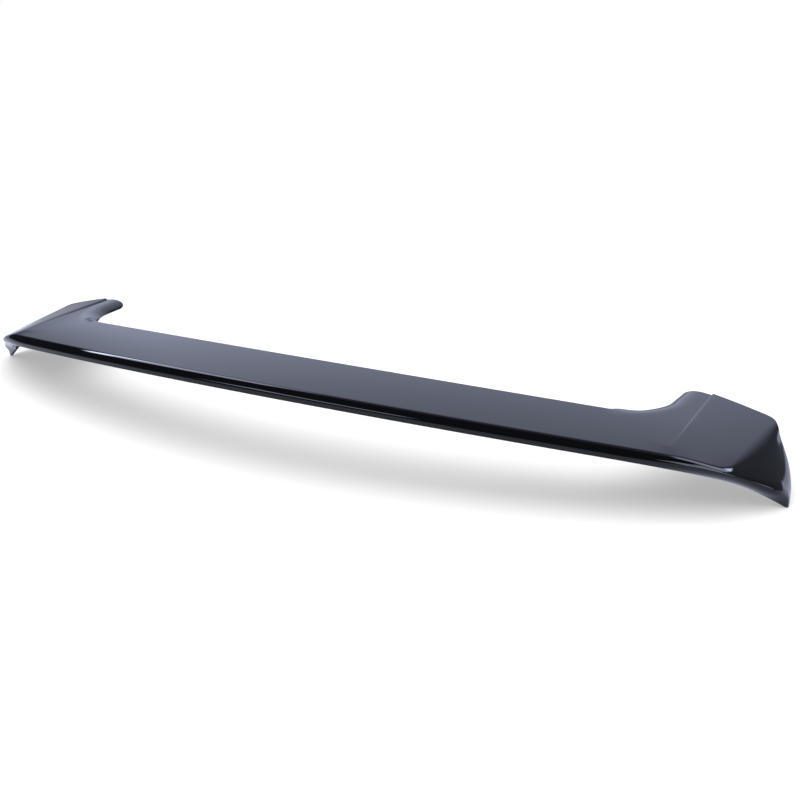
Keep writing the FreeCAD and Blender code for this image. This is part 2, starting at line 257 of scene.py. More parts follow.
class SpoilerShell:
    """The whole moulding: an outer skin, an inner one a wall's thickness inside it, and a rounded edge."""

    TURN_LENGTH = 160.0
    TURN_REACH = 3.0
    BULGE_SHARE = 0.55
    BLEND_SHARE = 0.45
    LIP_SHARE = 0.3
    DIP_POWER = 1.4
    LIFT_POWER = 0.7
    CUBIC_SHARE = 2 / 3
    ROLL_TURN = math.radians(80.0)
    ROLL_HEADINGS = (0.0, 52.0)
    CORNER_HEADINGS = (5.0, 70.0)
    CORNER_TURN = math.radians(62.0)
    TRIM_PASSES = 12
    TIP_CROWD = 5.0
    TIP_SPREAD = 3.0
    FAN_SAMPLES = 20
    SLOPE_STEP = 0.01

    def __init__(self, sizes: ShellSizes, counts: GridCounts) -> None:
        """Lay out the five long lines.

        Args:
            sizes: Driving sizes.
            counts: Cells of the grid.
        """
        self.sizes = sizes
        self.counts = counts
        self.front, self.crease, self.fold, self.rim, self.foot = self.guide_lines()

    def blade_point(self, across: Array, back: float, height: float) -> Array:
        """Points of the blade: the centre's place, bowed forward and arched down with the square of X."""
        sizes = self.sizes
        reach = (across / sizes.bow_half) ** 2
        return np.stack([across, back + sizes.blade_bow * reach, height - sizes.blade_arch * reach], axis=-1)

    def top_height(self, x: Array, y: Array) -> Array:
        """Height of the top: arched down with X squared, and falling with the square of the way back."""
        sizes = self.sizes
        reach = (x / sizes.bow_half) ** 2
        behind = np.maximum(sizes.bond_margin + sizes.blade_bow * reach - y, 0.0) / sizes.blade_chord
        return sizes.wall - sizes.blade_arch * reach - sizes.top_fall * behind ** 2

    def station_of(self, spots: Array) -> Array:
        """Station of points: X on the blade, heading times the turning length, then Y past the notch."""
        sizes = self.sizes
        right = spots[:, 0] - sizes.blade_half
        rear = sizes.notch_middle_y - spots[:, 1]
        heading = np.arctan2(right, np.maximum(rear, 0.0)) / (np.pi / 2)
        turned = sizes.blade_half + self.TURN_LENGTH * heading - np.minimum(rear, 0.0)
        return np.where(right <= 0, spots[:, 0], turned)

    def out_of(self, spots: Array) -> Array:
        """Distance of points out from the middle line that the sections stand on."""
        right = np.maximum(spots[:, 0] - self.sizes.blade_half, 0.0)
        rear = np.maximum(self.sizes.notch_middle_y - spots[:, 1], 0.0)
        return np.hypot(right, rear)

    def heading(self, station: Array) -> Array:
        """How far the sections have turned from rearward to outward, in radians."""
        return np.clip((station - self.sizes.blade_half) / self.TURN_LENGTH, 0.0, 1.0) * np.pi / 2

    def plan(self, station: Array, out: Array) -> tuple[Array, Array]:
        """X and Y from station and distance out."""
        sizes = self.sizes
        heading = self.heading(station)
        ahead = np.maximum(station - sizes.blade_half - self.TURN_LENGTH, 0.0)
        x = np.minimum(station, sizes.blade_half) + np.sin(heading) * out
        return x, sizes.notch_middle_y + ahead - np.cos(heading) * out

    def turn(self, before: Array, corner: Array, after: Array, rounding: float) -> list[Array]:
        """Poles that take a line round a corner: two on each leg, one rounding away and a few away."""
        into = unit(before - corner) * rounding
        out = unit(after - corner) * rounding
        return [corner + into * self.TURN_REACH, corner + into, corner + out, corner + out * self.TURN_REACH]

    def at_front(self, x: float, z: float) -> Array:
        """A point on the wing's front edge."""
        return np.array([x, self.sizes.wing_front_y, z])

    def guide_lines(self) -> list[GuideLine]:
        """The five long lines: front edge, crease, fold, rim and free edge.

        The front edge and the crease are given in plan, since both lie on the top.

        Returns:
            The lines, from the front edge to the free edge of lip and fin.
        """
        sizes = self.sizes
        front_y = sizes.bond_margin
        lip_y, lip_z = front_y - sizes.blade_chord, sizes.wall - sizes.top_fall
        band_y, band_z = lip_y - sizes.lip_run, lip_z - sizes.lip_fall
        foot_y, foot_z = band_y + sizes.band_tuck, band_z - sizes.band_height
        crown_y = front_y - sizes.blade_chord / 2
        shoulder = np.array(sizes.shoulder_half)

        inner, waist = self.at_front(sizes.inner_front_x, 0.0), np.array([*sizes.waist, 0.0])
        notch = np.array([*sizes.notch, 0.0])
        front = GuideLine(self, front_y, 0.0, [notch, waist, mix(waist, inner, 0.5), inner])

        crease_rear = np.array([*sizes.crease_rear, 0.0])
        crease_front = self.at_front(sizes.crease_front_x, 0.0)
        blade_end = self.blade_point(np.array(sizes.blade_half), crown_y, 0.0) * np.array([1, 1, 0])
        crease_turn = self.turn(blade_end, crease_rear, crease_front, sizes.crease_round)
        crease = GuideLine(self, crown_y, 0.0, [*crease_turn, crease_front])

        fold_front = self.at_front(*sizes.fold_front)
        tail = self.blade_point(shoulder, lip_y, lip_z)
        fold_turn = self.turn(tail, np.array(sizes.fold_rear), fold_front, sizes.fold_round)
        fold = GuideLine(self, lip_y, lip_z, [tail, *fold_turn, fold_front])

        corner = np.array(sizes.tip) + np.array(sizes.rim_from_tip)
        rim_front = self.at_front(*sizes.rim_front)
        tail = self.blade_point(shoulder, band_y, band_z)
        bulge = mix(corner, rim_front, self.BULGE_SHARE) + np.array([sizes.rim_bulge, 0, 0])
        rim_waist = np.array(sizes.rim_waist)
        rim_turn = self.turn(rim_waist, corner, bulge, sizes.rim_round)
        rim = GuideLine(self, band_y, band_z, [tail, rim_waist, *rim_turn, bulge, rim_front])

        tip, fin_front = np.array(sizes.tip), self.at_front(*sizes.fin_front)
        tail = self.blade_point(shoulder, foot_y, foot_z)
        arch, heel, rise = np.array(sizes.fin_arch), np.array(sizes.fin_heel), np.array(sizes.fin_rise)
        tip_turn = self.turn(heel, tip, rise, sizes.tip_round)
        foot = GuideLine(self, foot_y, foot_z, [tail, arch, heel, *tip_turn[1:], rise, fin_front])
        return [front, crease, fold, rim, foot]

    def pieces(self) -> list[tuple[Callable[..., tuple[Array, Array]], Array]]:
        """The parts of the outer section in order, each with the shares at which it is read."""
        counts = self.counts
        parts = [(self.roll_part, counts.roll), (self.inner_part, counts.inner_panel),
                 (self.riser_part, counts.riser), (self.outer_part, counts.outer_panel),
                 (self.fold_part, counts.fold), (self.face_part, counts.face),
                 (self.rim_part, counts.rim), (self.band_part, counts.band)]
        shares = [(part, np.linspace(0.0, 1.0, count + 1)[:-1]) for part, count in parts]
        shares[-1] = (self.band_part, np.linspace(0.0, 1.0, counts.band + 1))
        return shares

    def section(self, station: Array) -> dict[str, Array]:
        """Corners and setbacks of the wall's outer line at the stations.

        Args:
            station: Stations, of any shape.

        Returns:
            Named values of the same shape.
        """
        sizes = self.sizes
        front_o, crease_o = self.front.at(station)[0], self.crease.at(station)[0]
        fold_o, fold_z = self.fold.at(station)
        rim_o, rim_z = self.rim.at(station)
        foot_o, foot_z = self.foot.at(station)
        heading = np.degrees(self.heading(station))
        corner = ramp(heading, *self.CORNER_HEADINGS)
        crease_y = self.plan(station, crease_o)[1]
        fold_x, fold_y = self.plan(station, fold_o)
        face_length = np.hypot(rim_o - fold_o, rim_z - fold_z)
        band_length = np.hypot(foot_o - rim_o, foot_z - rim_z)
        forward = ramp(fold_y, sizes.fold_rear[1], sizes.wing_front_y)
        bend = mix(sizes.fold_blend, sizes.fold_blend_front, forward)
        fold_in = mix(sizes.lip_blend, bend, corner)
        rim_out = band_length * mix(self.LIP_SHARE, sizes.rim_share, corner)
        return dict(
            station=station, front_o=front_o, crease_o=crease_o, fold_o=fold_o, rim_o=rim_o, rim_z=rim_z,
            foot_o=foot_o, foot_z=foot_z, face_length=face_length, band_length=band_length,
            drop=sizes.roll_drop * ramp(heading, *self.ROLL_HEADINGS),
            lift=self.crease_lift(crease_y) * corner,
            dip=fold_z - self.top_height(fold_x, fold_y),
            bulge=sizes.band_bulge * corner,
            fold_in=fold_in, fold_out=soft_least(fold_in, self.BLEND_SHARE * face_length),
            rim_in=soft_least(rim_out, self.BLEND_SHARE * face_length), rim_out=rim_out)

    def crease_lift(self, y: Array) -> Array:
        """Height of the crease's step, by a power of the way from its rear end to the wing's front."""
        rear, front = self.sizes.crease_rear[1], self.sizes.wing_front_y
        return self.sizes.crease_step * np.clip((y - rear) / (front - rear), 0, 1) ** self.LIFT_POWER

    def panel_height(self, s: dict[str, Array], out: Array) -> Array:
        """Height of the top panel: the top, dipped to the fold by a power and lifted past the crease."""
        share = np.clip((out - s["crease_o"]) / (s["fold_o"] - s["crease_o"]), 0.0, None)
        lifted = s["lift"] * ramp(out - s["crease_o"], 0.0, self.sizes.crease_width) * (1 - share)
        return self.top_height(*self.plan(s["station"], out)) + s["dip"] * share ** self.DIP_POWER + lifted

    def roll_part(self, s: dict[str, Array], t: Array) -> tuple[Array, Array]:
        """The front margin, rolled down on the wing as part of an ellipse."""
        angle = self.ROLL_TURN * (1 - t)
        width = self.sizes.roll_width - self.sizes.edge_round
        out = s["front_o"] + self.sizes.roll_width - width * np.sin(angle) / math.sin(self.ROLL_TURN)
        fall = s["drop"] * (1 - np.cos(angle)) / (1 - math.cos(self.ROLL_TURN))
        return out, self.panel_height(s, out) - fall

    def inner_part(self, s: dict[str, Array], t: Array) -> tuple[Array, Array]:
        """The panel from the margin to the crease."""
        out = mix(s["front_o"] + self.sizes.roll_width, s["crease_o"], t)
        return out, self.panel_height(s, out)

    def riser_part(self, s: dict[str, Array], t: Array) -> tuple[Array, Array]:
        """The crease, where the panel steps up."""
        out = s["crease_o"] + self.sizes.crease_width * t
        return out, self.panel_height(s, out)

    def outer_part(self, s: dict[str, Array], t: Array) -> tuple[Array, Array]:
        """The panel from the crease to the fold's bend."""
        out = mix(s["crease_o"] + self.sizes.crease_width, s["fold_o"] - s["fold_in"], t)
        return out, self.panel_height(s, out)

    def fold_start(self, s: dict[str, Array]) -> tuple[Array, Array, Array]:
        """Where the panel leaves for the fold's bend: out, height and the height of the bend's control."""
        out = s["fold_o"] - s["fold_in"]
        height = self.panel_height(s, out)
        slope = (height - self.panel_height(s, out - self.SLOPE_STEP)) / self.SLOPE_STEP
        return out, height, height + slope * s["fold_in"]

    def face_ends(self, s: dict[str, Array]) -> tuple[Array, Array, Array, Array]:
        """Both ends of the straight face between the bends."""
        control = self.fold_start(s)[2]
        into = s["fold_out"] / s["face_length"]
        back = s["rim_in"] / s["face_length"]
        start_o, start_z = mix(s["fold_o"], s["rim_o"], into), mix(control, s["rim_z"], into)
        return start_o, start_z, mix(s["rim_o"], s["fold_o"], back), mix(s["rim_z"], control, back)

    @staticmethod
    def bend(start: Array, control: Array, end: Array, t: Array) -> Array:
        """A place on a quadratic Bezier curve.

        Squares of the two shares weigh the ends, and twice their product the control.
        """
        return (1 - t) ** 2 * start + 2 * t * (1 - t) * control + t ** 2 * end

    def fold_part(self, s: dict[str, Array], t: Array) -> tuple[Array, Array]:
        """The upper bend, from the panel to the face."""
        begin_o, begin_z, control_z = self.fold_start(s)
        end_o, end_z = self.face_ends(s)[:2]
        return self.bend(begin_o, s["fold_o"], end_o, t), self.bend(begin_z, control_z, end_z, t)

    def face_part(self, s: dict[str, Array], t: Array) -> tuple[Array, Array]:
        """The straight face of the lip, which widens into the fin's side."""
        start_o, start_z, end_o, end_z = self.face_ends(s)
        return mix(start_o, end_o, t), mix(start_z, end_z, t)

    def band_control(self, s: dict[str, Array]) -> tuple[Array, Array]:
        """The band's control point: its middle, pushed out square to it by twice its bulge."""
        run, drop = s["foot_o"] - s["rim_o"], s["foot_z"] - s["rim_z"]
        push = 2 * s["bulge"] / s["band_length"]
        return (s["rim_o"] + s["foot_o"]) / 2 - push * drop, (s["rim_z"] + s["foot_z"]) / 2 + push * run

    def into_band(self, begin: Array, corner: Array, control: Array, foot: Array,
                  share: Array, t: Array) -> Array:
        """A place on the lower bend, for one of its two coordinates.

        A cubic Bezier curve that leaves along the face, towards the corner, and ends at a share of the
        band's own curve, along that curve's slope.

        Args:
            begin: The face's end.
            corner: Where the face and the band would meet.
            control: The band's control point.
            foot: The band's end.
            share: How far along the band's curve the bend ends.
            t: How far along the bend the place is.

        Returns:
            The coordinate.
        """
        end = self.bend(corner, control, foot, share)
        slope = 2 * ((1 - share) * (control - corner) + share * (foot - control))
        first, last = mix(begin, corner, self.CUBIC_SHARE), end - slope * share * self.CUBIC_SHARE
        return (1 - t) * self.bend(begin, first, last, t) + t * self.bend(first, last, end, t)

    def rim_part(self, s: dict[str, Array], t: Array) -> tuple[Array, Array]:
        """The lower bend, from the face to the band."""
        begin_o, begin_z = self.face_ends(s)[2:]
        control_o, control_z = self.band_control(s)
        share = s["rim_out"] / s["band_length"]
        return (self.into_band(begin_o, s["rim_o"], control_o, s["foot_o"], share, t),
                self.into_band(begin_z, s["rim_z"], control_z, s["foot_z"], share, t))

    def band_part(self, s: dict[str, Array], t: Array) -> tuple[Array, Array]:
        """The bulged band down to the free edge, short of it by the edge's rounding."""
        control_o, control_z = self.band_control(s)
        start = s["rim_out"] / s["band_length"]
        share = mix(start, 1 - self.sizes.edge_round / s["band_length"], t)
        return (self.bend(s["rim_o"], control_o, s["foot_o"], share),
                self.bend(s["rim_z"], control_z, s["foot_z"], share))

    def section_points(self, station: Array) -> tuple[Array, Array]:
        """Distance out and height of the outer skin on a grid of stations by section shares.

        Args:
            station: Stations, one row per section and one column per point of the section.

        Returns:
            Both values, shaped as station.
        """
        outs, heights = [], []
        first = 0
        for part, shares in self.pieces():
            here = station[:, first:first + len(shares)]
            out, height = part(self.section(here), shares[None, :])
            outs.append(out)
            heights.append(height)
            first += len(shares)
        return np.concatenate(outs, axis=1), np.concatenate(heights, axis=1)

    def skins(self, station: Array) -> tuple[Array, Array]:
        """Points of both skins on a grid of stations by section shares.

        The inner skin is the outer one moved in by the wall, within each section's own plane, along the
        section's tangent turned by a quarter.

        Args:
            station: Stations, one row per section and one column per point of the section.

        Returns:
            Outer and inner points, shaped as station with three places each.
        """
        out, height = self.section_points(station)
        tangent = unit(np.stack([np.gradient(out, axis=1), np.gradient(height, axis=1)], axis=-1))
        inner_out = out + self.sizes.wall * tangent[..., 1]
        inner_height = height - self.sizes.wall * tangent[..., 0]
        return (np.stack([*self.plan(station, out), height], axis=-1),
                np.stack([*self.plan(station, inner_out), inner_height], axis=-1))

    def front_outline(self, across: Array) -> Array:
        """Y of the wing's front edge in plan.

        It is straight between two corners. The inner corner is a quarter circle. The outer one is an arc that
        runs on into a slanted line, so that it meets the fin's free edge without a step.
        """
        sizes = self.sizes
        inside = np.clip(sizes.inner_front_x + sizes.inner_corner - across, 0.0, sizes.inner_corner)
        inner_dip = sizes.inner_corner - np.sqrt(sizes.inner_corner ** 2 - inside ** 2)
        run = math.sin(self.CORNER_TURN)
        outside = np.maximum(across - sizes.front_corner_x, 0.0) / sizes.front_corner
        arc = 1 - np.sqrt(1 - np.minimum(outside, run) ** 2)
        slanted = np.maximum(outside - run, 0.0) * math.tan(self.CORNER_TURN)
        return sizes.wing_front_y - inner_dip - (arc + slanted) * sizes.front_corner - sizes.edge_round

    def fan_stations(self) -> Array:
        """Stations round the notch, crowded near the fin's point.

        Rows are spread evenly over the running sum of a density: 1 plus a bell about the point's heading.
        """
        sizes = self.sizes
        tip = math.degrees(math.atan2(sizes.tip[0] - sizes.blade_half, sizes.notch_middle_y - sizes.tip[1]))
        heading = np.linspace(0.0, 90.0, self.FAN_SAMPLES * self.counts.fan)
        density = 1.0 + self.TIP_CROWD * np.exp(-((heading - tip) / self.TIP_SPREAD) ** 2)
        running = np.cumsum(density) - density[0]
        even = np.linspace(0.0, running[-1], self.counts.fan + 1)
        return sizes.blade_half + self.TURN_LENGTH * np.interp(even, running, heading) / 90.0

    def half_stations(self) -> Array:
        """Stations of the grid from the mirror plane to the wing's front.

        The wing's stations are stretched, point by point along the section, so that the last row lies on
        the front outline. The end of each is found by a few rounds of reading the outline at its own X.

        Returns:
            Stations, one row per section and one column per point of the section.
        """
        sizes, counts = self.sizes, self.counts
        width = sum(len(shares) for _, shares in self.pieces())
        turned = sizes.blade_half + self.TURN_LENGTH
        middle = np.concatenate([np.linspace(0, sizes.blade_half, counts.blade + 1), self.fan_stations()[1:]])
        ends = np.full((1, width), turned + sizes.wing_front_y - sizes.notch_middle_y)
        for _ in range(self.TRIM_PASSES):
            across = self.plan(ends, self.section_points(ends)[0])[0]
            ends = turned + self.front_outline(across) - sizes.notch_middle_y
        shares = np.linspace(0.0, 1.0, counts.wing + 1)[1:, None]
        return np.vstack([np.repeat(middle[:, None], width, axis=1), turned + (ends - turned) * shares])

    def whole(self, right: Array) -> Array:
        """Points of both halves, from the left wing's front to the right one's."""
        return np.concatenate([right[:0:-1] * np.array([-1.0, 1.0, 1.0]), right], axis=0)

    def build(self) -> bpy.types.Object:
        """Make the closed mesh of the moulding.

        Round the rim of the grid a strip of rows follows a rounded edge: a quarter circle, a flat and a
        second quarter circle.

        Returns:
            The object, with the skins marked by the attribute "inside".
        """
        outer, inner = (self.whole(skin) for skin in self.skins(self.half_stations()))
        normal = unit(outer - inner)
        rows, columns = outer.shape[:2]
        index = np.arange(rows * columns).reshape(rows, columns)
        rim = np.concatenate([index[:-1, 0], index[-1, :-1], index[:0:-1, -1], index[0, :0:-1]])
        strip = self.edge_rows(outer.reshape(-1, 3)[rim], normal.reshape(-1, 3)[rim])

        faces = [grid_faces(index, False), grid_faces(index + rows * columns, True)]
        first = 2 * rows * columns
        between = first + np.arange(strip.shape[0] * strip.shape[1]).reshape(strip.shape[:2])
        ring = np.vstack([rim[None, :], between, rim[None, :] + rows * columns])
        ring = np.concatenate([ring, ring[:, :1]], axis=1)
        faces.append(grid_faces(ring, True))
        spots = np.concatenate([outer.reshape(-1, 3), inner.reshape(-1, 3), strip.reshape(-1, 3)])
        inside = np.concatenate([np.full(rows * columns, Skin.OUTER.value),
                                 np.full(rows * columns, Skin.INNER.value),
                                 np.repeat(np.linspace(0, 1, len(strip)), strip.shape[1])])
        return make_mesh("spoiler_skin", spots * MM, np.concatenate(faces), inside)

    def edge_rows(self, rim: Array, normal: Array) -> Array:
        """Rows of points over the rounded edge, from the outer skin's rim to the inner skin's.

        Each point of the rim moves down its normal and out along the cross product of the rim's direction
        and the normal: by the sine and one minus the cosine of a quarter turn at each corner of the edge.

        Args:
            rim: Points round the outer skin's rim, in order.
            normal: Outward normals there.

        Returns:
            Points, one row for each step round the edge, without the two rims themselves.
        """
        radius, wall = self.sizes.edge_round, self.sizes.wall
        along = unit(np.roll(rim, -1, axis=0) - np.roll(rim, 1, axis=0))
        out = unit(np.cross(normal, along))
        angle = np.linspace(0.0, np.pi / 2, self.counts.edge + 1)[1:]
        deep = np.concatenate([radius * (1 - np.cos(angle)), wall - radius * (1 - np.cos(angle[::-1]))])
        far = radius * np.concatenate([np.sin(angle), np.sin(angle[::-1])])
        return rim - normal * deep[:, None, None] - out * far[:, None, None]


def grid_faces(index: Array, flipped: bool) -> Array:
    """Four-cornered faces of a grid of vertex numbers.

    Args:
        index: Vertex numbers, by row and column.
        flipped: Whether the faces turn the other way round.

    Returns:
        One row of four vertex numbers per face.
    """
    corners = [index[:-1, :-1], index[1:, :-1], index[1:, 1:], index[:-1, 1:]]
    if flipped:
        corners.reverse()
    return np.stack(corners, axis=-1).reshape(-1, 4)


def make_mesh(name: str, spots: Array, faces: Array, inside: Array) -> bpy.types.Object:
    """Put points and four-cornered faces into a smooth mesh object at the origin.

    Args:
        name: Name of the object.
        spots: Points in metres.
        faces: Vertex numbers of the faces.
        inside: Value of the attribute "inside" at each point.

    Returns:
        The object, linked to the scene.
    """
    mesh = bpy.data.meshes.new(name)
    mesh.vertices.add(len(spots))
    mesh.vertices.foreach_set("co", spots.astype(np.float32).ravel())
    mesh.loops.add(faces.size)
    mesh.loops.foreach_set("vertex_index", faces.astype(np.int32).ravel())
    mesh.polygons.add(len(faces))
    mesh.polygons.foreach_set("loop_start", np.arange(0, faces.size, 4, dtype=np.int32))
    mesh.polygons.foreach_set("use_smooth", np.ones(len(faces), bool))
    attribute = mesh.attributes.new("inside", "FLOAT", "POINT")
    attribute.data.foreach_set("value", inside.astype(np.float32))
    mesh.update(calc_edges=True)
    mesh.validate()
    thing = bpy.data.objects.new(name, mesh)
    bpy.context.scene.collection.objects.link(thing)
    return thing


Term = Union["Socket", float]
Colour = Union["Socket", Sequence[float]]


class Socket:
    """A shader socket in an expression: arithmetic on it adds Math nodes to its tree."""

    def __init__(self, tree: bpy.types.NodeTree, link: bpy.types.NodeSocket) -> None:
        """Wrap one output socket of a node tree."""
        self.tree = tree
        self.link = link

    def math(self, operation: str, *terms: Term) -> "Socket":
        """A Math node on the given terms."""
        node = self.tree.nodes.new("ShaderNodeMath")
        node.operation = operation
        for entry, term in zip(node.inputs, terms):
            if isinstance(term, Socket):
                self.tree.links.new(term.link, entry)
            else:
                entry.default_value = term
        return Socket(self.tree, node.outputs[0])

    def __add__(self, other: Term) -> "Socket":
        """Sum."""
        return self.math("ADD", self, other)

    __radd__ = __add__

    def __sub__(self, other: Term) -> "Socket":
        """Difference."""
        return self.math("SUBTRACT", self, other)

    def __rsub__(self, other: Term) -> "Socket":
        """Difference from a number."""
        return self.math("SUBTRACT", other, self)

    def __mul__(self, other: Term) -> "Socket":
        """Product."""
        return self.math("MULTIPLY", self, other)

    __rmul__ = __mul__

    def clamp(self) -> "Socket":
        """The value held between 0 and 1."""
        return self.math("MAXIMUM", self.math("MINIMUM", self, 1.0), 0.0)


class NodeBoard:
    """A node tree that is built from expressions."""

    def __init__(self, tree: bpy.types.NodeTree) -> None:
        """Empty the tree."""
        self.tree = tree
        tree.nodes.clear()

    def node(self, kind: str, settings: Optional[dict[str, Any]] = None,
             output: Union[int, str] = 0, **values: Any) -> Socket:
        """Add any node.

        Args:
            kind: The node's type.
            settings: Attributes of the node, set first.
            output: Which output to return.
            values: Values or sockets for the inputs, by name with underscores for spaces, or by number
                after an underscore.

        Returns:
            The output asked for.
        """
        node = self.tree.nodes.new(kind)
        for name, value in (settings or {}).items():
            setattr(node, name, value)
        for name, value in values.items():
            entry = node.inputs[int(name[1:])] if name[0] == "_" else node.inputs[name.replace("_", " ")]
            if isinstance(value, Socket):
                self.tree.links.new(value.link, entry)
            else:
                entry.default_value = value
        if not node.outputs:
            return Socket(self.tree, None)
        return Socket(self.tree, node.outputs[output])

    def step(self, value: Term, start: float, end: float) -> Socket:
        """A smooth step from 0 at start to 1 at end."""
        return self.node("ShaderNodeMapRange", {"interpolation_type": "SMOOTHSTEP"},
                         Value=value, From_Min=start, From_Max=end)

    def noise(self, spot: Socket, scale: float, detail: float) -> Socket:
        """Soft noise between 0 and 1."""
        return self.node("ShaderNodeTexNoise", output="Fac", Vector=spot, Scale=scale, Detail=detail)

    def tint(self, share: Term, start: Colour, end: Colour) -> Socket:
        """A colour at a share of the way from start to end."""
        return self.node("ShaderNodeMix", {"data_type": "RGBA"}, output=2, _0=share, _6=start, _7=end)

    def scaled(self, colour: Socket, level: Socket) -> Socket:
        """A colour times a level."""
        return self.node("ShaderNodeVectorMath", {"operation": "SCALE"}, _0=colour, Scale=level)

    def ray(self, *kinds: str) -> Socket:
        """1 for rays of the kinds named, such as Camera or Glossy, and 0 for others."""
        seen = [self.node("ShaderNodeLightPath", output=f"Is {kind} Ray") for kind in kinds]
        return sum(seen[1:], seen[0]).clamp()


@dataclass(frozen=True)
class PianoBlack:
    """Deep black moulding under clear lacquer, with a plain grained underside."""

    depth: tuple = (0.0012, 0.0012, 0.0016, 1.0)
    haze: tuple = (0.0020, 0.0020, 0.0026, 1.0)
    raw: tuple = (0.016, 0.016, 0.017, 1.0)
    gloss: float = 0.018
    gloss_spread: float = 0.012
    raw_rough: float = 0.46
    raw_spread: float = 0.1
    index: float = 1.5
    ripple_scale: float = 260.0
    ripple_detail: float = 1.0
    ripple_height: float = 0.000004
    grain_scale: float = 1800.0
    grain_detail: float = 2.0
    grain_height: float = 0.00004
    haze_scale: float = 9.0
    haze_detail: float = 4.0

    def material(self) -> bpy.types.Material:
        """Build the material.

        Returns:
            The material, which mixes lacquer and raw underside by the attribute "inside".
        """
        made = bpy.data.materials.new("piano_black")
        made.use_nodes = True
        board = NodeBoard(made.node_tree)
        spot = board.node("ShaderNodeTexCoord", output="Object")
        inside = board.node("ShaderNodeAttribute", {"attribute_name": "inside"}, output="Fac")
        cloud = board.noise(spot, self.haze_scale, self.haze_detail)
        ripple = board.noise(spot, self.ripple_scale, self.ripple_detail)
        grain = board.noise(spot, self.grain_scale, self.grain_detail)
        colour = board.tint(inside, board.tint(cloud, self.depth, self.haze), self.raw)
        shine = self.gloss + self.gloss_spread * (cloud - 0.5)
        dull = self.raw_rough + self.raw_spread * (grain - 0.5)
        rough = shine * (1 - inside) + dull * inside
        relief = ripple * self.ripple_height * (1 - inside) + grain * self.grain_height * inside
        bump = board.node("ShaderNodeBump", Height=relief, Distance=1.0, Strength=1.0)
        shader = board.node("ShaderNodeBsdfPrincipled", Base_Color=colour, Roughness=rough,
                            IOR=self.index, Normal=bump)
        board.node("ShaderNodeOutputMaterial", Surface=shader)
        return made


@dataclass(frozen=True)
class LightPanel:
    """A bright patch of the room that the gloss mirrors, in degrees of azimuth from +Y and of elevation."""

    name: str
    azimuth: tuple
    elevation: tuple
    edge: tuple
    strength: float

    def glow(self, board: NodeBoard, azimuth: Socket, elevation: Socket) -> Socket:
        """The panel's strength where a direction meets it, with soft edges."""
        across, upright = self.edge
        left, right = self.azimuth
        low, high = self.elevation
        wide = board.step(azimuth, left - across, left + across)
        wide = wide - board.step(azimuth, right - across, right + across)
        tall = board.step(elevation, low - upright, low + upright)
        tall = tall - board.step(elevation, high - upright, high + upright)
        return wide * tall * self.strength


@dataclass(frozen=True)
class Softbox:
    """A square lamp that lights the table from above and doesn't show in the gloss."""

    name: str
    place: tuple
    target: tuple
    side: float
    power: float

    def build(self) -> bpy.types.Object:
        """Make the lamp."""
        lamp = bpy.data.lights.new(self.name, "AREA")
        lamp.size = self.side
        lamp.energy = self.power
        thing = bpy.data.objects.new(self.name, lamp)
        thing.location = self.place
        thing.rotation_euler = (Vector(self.target) - Vector(self.place)).to_track_quat("-Z", "Y").to_euler()
        thing.visible_glossy = False
        bpy.context.scene.collection.objects.link(thing)
        return thing


